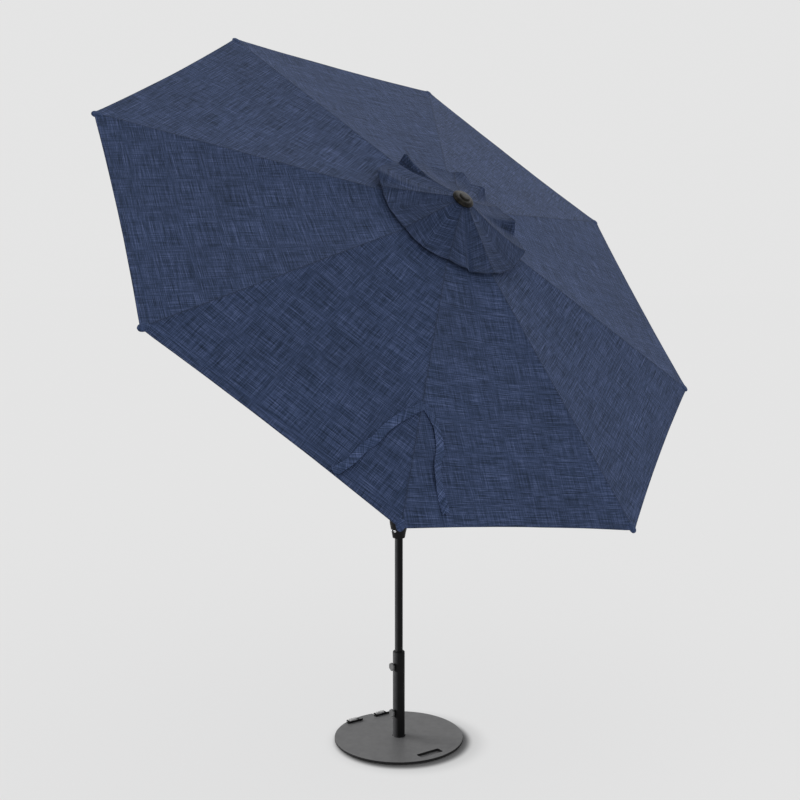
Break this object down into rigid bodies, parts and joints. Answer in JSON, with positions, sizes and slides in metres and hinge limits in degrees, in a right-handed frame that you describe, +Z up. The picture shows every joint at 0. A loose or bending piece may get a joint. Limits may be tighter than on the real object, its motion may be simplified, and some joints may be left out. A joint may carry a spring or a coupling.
{
  "type": "patio umbrella with base",
  "caption": "Octagonal tilting market umbrella with a vent tier, a crank mast and a round steel plate base with clamp knobs, rollers and a grip slot.",
  "frame": {"origin": "centre of the base pad's underside, on the floor", "axes": "+Z up along the lower pole; the base's grip slot faces -Y, its rollers +Y and its clamp knobs -X"},
  "size_m": [2.9287, 1.9182, 3.3827],
  "materials": {
    "powder_coat": "matt charcoal powder coat, fine texture",
    "satin_black": "satin black powder coat",
    "black_plastic": "moulded, fine grain",
    "rubber": "matt",
    "steel": "zinc plated",
    "bronze": "dark bronze, semi gloss",
    "canopy_fabric": "slub weave, navy and slate yarns",
    "frame_aluminium": "satin black powder coat"
  },
  "bodies": {
    "base": {"base_pad": "rubber", "base_plate": "powder_coat", "socket_tube": "satin_black", "weld_bead": "satin_black", "socket_sleeve_top": "black_plastic", "socket_sleeve_bottom": "black_plastic", "knob_boss_lower": "satin_black", "knob_boss_upper": "satin_black", "roller_bracket_left": "satin_black", "roller_bracket_right": "satin_black", "roller_axle_left": "steel", "roller_axle_right": "steel"},
    "knob_lower": {"knob_head_lower": "black_plastic", "knob_stem_lower": "steel"},
    "knob_upper": {"knob_head_upper": "black_plastic", "knob_stem_upper": "steel"},
    "roller_left": {"roller_left": "rubber"},
    "roller_right": {"roller_right": "rubber"},
    "mast_foot": {"pole_foot": "black_plastic"},
    "mast": {"lower_pole": "satin_black", "crank_housing_front": "black_plastic", "crank_housing_back": "black_plastic", "housing_screw_left": "steel", "housing_screw_right": "steel", "knuckle_lower": "black_plastic", "knuckle_pin": "steel"},
    "crank": {"crank_spool": "steel", "crank_arm": "satin_black"},
    "grip": {"crank_grip": "black_plastic"},
    "head": {"knuckle_upper": "black_plastic", "upper_pole": "satin_black", "hub": "black_plastic", "hub_wire": "steel", "crown_plate": "satin_black", "crown_post": "black_plastic", "finial": "bronze", "canopy": "canopy_fabric", "vent_cap": "canopy_fabric"},
    "runner": {"runner": "black_plastic", "runner_wire": "steel"},
    "rib_0": {"rib_0": "frame_aluminium", "tie_strap_left": "canopy_fabric", "tie_strap_right": "canopy_fabric"},
    "rib_1": {"rib_1": "frame_aluminium"},
    "rib_2": {"rib_2": "frame_aluminium"},
    "rib_3": {"rib_3": "frame_aluminium"},
    "rib_4": {"rib_4": "frame_aluminium"},
    "rib_5": {"rib_5": "frame_aluminium"},
    "rib_6": {"rib_6": "frame_aluminium"},
    "rib_7": {"rib_7": "frame_aluminium"},
    "strut_0": {"strut_0": "frame_aluminium"},
    "strut_1": {"strut_1": "frame_aluminium"},
    "strut_2": {"strut_2": "frame_aluminium"},
    "strut_3": {"strut_3": "frame_aluminium"},
    "strut_4": {"strut_4": "frame_aluminium"},
    "strut_5": {"strut_5": "frame_aluminium"},
    "strut_6": {"strut_6": "frame_aluminium"},
    "strut_7": {"strut_7": "frame_aluminium"}
  },
  "joints": [
    {"name": "mast_lift", "type": "slide", "parent": "base", "child": "mast_foot", "axis": [0, 0, 1], "range_m": [0, 0.4]},
    {"name": "mast_swivel", "type": "hinge", "parent": "mast_foot", "child": "mast", "pos_m": [0, 0, 0.02], "axis": [0, 0, 1], "continuous": true},
    {"name": "knob_turn_lower", "type": "hinge", "parent": "base", "child": "knob_lower", "pos_m": [-0.041, 0, 0.135], "axis": [-1, 0, 0], "range_deg": [0, 540]},
    {"name": "knob_turn_upper", "type": "hinge", "parent": "base", "child": "knob_upper", "pos_m": [-0.041, 0, 0.363], "axis": [-1, 0, 0], "range_deg": [0, 540]},
    {"name": "roller_spin_left", "type": "hinge", "parent": "base", "child": "roller_left", "pos_m": [-0.081, 0.29, 0.0135], "axis": [1, 0, 0], "continuous": true},
    {"name": "roller_spin_right", "type": "hinge", "parent": "base", "child": "roller_right", "pos_m": [0.081, 0.29, 0.0135], "axis": [1, 0, 0], "continuous": true},
    {"name": "tilt", "type": "hinge", "parent": "mast", "child": "head", "pos_m": [0, 0, 2.1533], "axis": [-0.9968, -0.0799, 0], "range_deg": [0, 48.34]},
    {"name": "runner_slide", "type": "slide", "parent": "head", "child": "runner", "axis": [-0.0597, 0.7447, -0.6647], "range_m": [0, 0.235], "deforming": ["canopy", "vent_cap", "tie_strap_left", "tie_strap_right"]},
    {"name": "crank_turn", "type": "hinge", "parent": "mast", "child": "crank", "pos_m": [0, 0, 1.1], "axis": [-0.9968, -0.0799, 0], "range_deg": [0, 1141.56]},
    {"name": "grip_spin", "type": "hinge", "parent": "crank", "child": "grip", "pos_m": [0, 0, 1.205], "axis": [-0.9968, -0.0799, 0], "continuous": true},
    {"name": "rib_fold_0", "type": "hinge", "parent": "head", "child": "rib_0", "pos_m": [0.0123, -0.39334, 2.46221], "axis": [0.8724, -0.2848, -0.3973], "range_deg": [0, 16.05]},
    {"name": "rib_fold_1", "type": "hinge", "parent": "head", "child": "rib_1", "pos_m": [0.03963, -0.39423, 2.45877], "axis": [0.9599, 0.2254, 0.1664], "range_deg": [0, 16.05]},
    {"name": "rib_fold_2", "type": "hinge", "parent": "head", "child": "rib_2", "pos_m": [0.06117, -0.38187, 2.47069], "axis": [0.4852, 0.6036, 0.6327], "range_deg": [0, 16.05]},
    {"name": "rib_fold_3", "type": "hinge", "parent": "head", "child": "rib_3", "pos_m": [0.06433, -0.3635, 2.49098], "axis": [-0.2738, 0.6282, 0.7283], "range_deg": [0, 16.05]},
    {"name": "rib_fold_4", "type": "hinge", "parent": "head", "child": "rib_4", "pos_m": [0.04724, -0.34989, 2.50777], "axis": [-0.8724, 0.2848, 0.3973], "range_deg": [0, 16.05]},
    {"name": "rib_fold_5", "type": "hinge", "parent": "head", "child": "rib_5", "pos_m": [0.01991, -0.349, 2.51121], "axis": [-0.9599, -0.2254, -0.1664], "range_deg": [0, 16.05]},
    {"name": "rib_fold_6", "type": "hinge", "parent": "head", "child": "rib_6", "pos_m": [-0.00164, -0.36136, 2.49929], "axis": [-0.4852, -0.6036, -0.6327], "range_deg": [0, 16.05]},
    {"name": "rib_fold_7", "type": "hinge", "parent": "head", "child": "rib_7", "pos_m": [-0.00479, -0.37973, 2.479], "axis": [0.2738, -0.6282, -0.7283], "range_deg": [0, 16.05]},
    {"name": "strut_fold_0", "type": "hinge", "parent": "rib_0", "child": "strut_0", "pos_m": [-0.20663, -0.58519, 2.11904], "axis": [-0.8724, 0.2848, 0.3973], "range_deg": [0, 32.1]},
    {"name": "strut_fold_1", "type": "hinge", "parent": "rib_1", "child": "strut_1", "pos_m": [0.15398, -0.59687, 2.0736], "axis": [-0.9599, -0.2254, -0.1664], "range_deg": [0, 32.1]},
    {"name": "strut_fold_2", "type": "hinge", "parent": "rib_2", "child": "strut_2", "pos_m": [0.4384, -0.43372, 2.23086], "axis": [-0.4852, -0.6036, -0.6327], "range_deg": [0, 32.1]},
    {"name": "strut_fold_3", "type": "hinge", "parent": "rib_3", "child": "strut_3", "pos_m": [0.48001, -0.1913, 2.49872], "axis": [0.2738, -0.6282, -0.7283], "range_deg": [0, 32.1]},
    {"name": "strut_fold_4", "type": "hinge", "parent": "rib_4", "child": "strut_4", "pos_m": [0.25444, -0.01163, 2.72026], "axis": [0.8724, -0.2848, -0.3973], "range_deg": [0, 32.1]},
    {"name": "strut_fold_5", "type": "hinge", "parent": "rib_5", "child": "strut_5", "pos_m": [-0.10617, 0.00005, 2.76571], "axis": [0.9599, 0.2254, 0.1664], "range_deg": [0, 32.1]},
    {"name": "strut_fold_6", "type": "hinge", "parent": "rib_6", "child": "strut_6", "pos_m": [-0.39059, -0.16311, 2.60844], "axis": [0.4852, 0.6036, 0.6327], "range_deg": [0, 32.1]},
    {"name": "strut_fold_7", "type": "hinge", "parent": "rib_7", "child": "strut_7", "pos_m": [-0.4322, -0.40552, 2.34059], "axis": [-0.2738, 0.6282, 0.7283], "range_deg": [0, 32.1]}
  ],
  "couplings": [
    {"joint": "crank_turn", "follows": "runner_slide", "rad_per_m": 84.746},
    {"joint": "rib_fold_0", "follows": "runner_slide", "rad_per_m": 1.1912},
    {"joint": "rib_fold_1", "follows": "runner_slide", "rad_per_m": 1.1912},
    {"joint": "rib_fold_2", "follows": "runner_slide", "rad_per_m": 1.1912},
    {"joint": "rib_fold_3", "follows": "runner_slide", "rad_per_m": 1.1912},
    {"joint": "rib_fold_4", "follows": "runner_slide", "rad_per_m": 1.1912},
    {"joint": "rib_fold_5", "follows": "runner_slide", "rad_per_m": 1.1912},
    {"joint": "rib_fold_6", "follows": "runner_slide", "rad_per_m": 1.1912},
    {"joint": "rib_fold_7", "follows": "runner_slide", "rad_per_m": 1.1912},
    {"joint": "strut_fold_0", "follows": "runner_slide", "rad_per_m": 2.3824},
    {"joint": "strut_fold_1", "follows": "runner_slide", "rad_per_m": 2.3824},
    {"joint": "strut_fold_2", "follows": "runner_slide", "rad_per_m": 2.3824},
    {"joint": "strut_fold_3", "follows": "runner_slide", "rad_per_m": 2.3824},
    {"joint": "strut_fold_4", "follows": "runner_slide", "rad_per_m": 2.3824},
    {"joint": "strut_fold_5", "follows": "runner_slide", "rad_per_m": 2.3824},
    {"joint": "strut_fold_6", "follows": "runner_slide", "rad_per_m": 2.3824},
    {"joint": "strut_fold_7", "follows": "runner_slide", "rad_per_m": 2.3824}
  ]
}
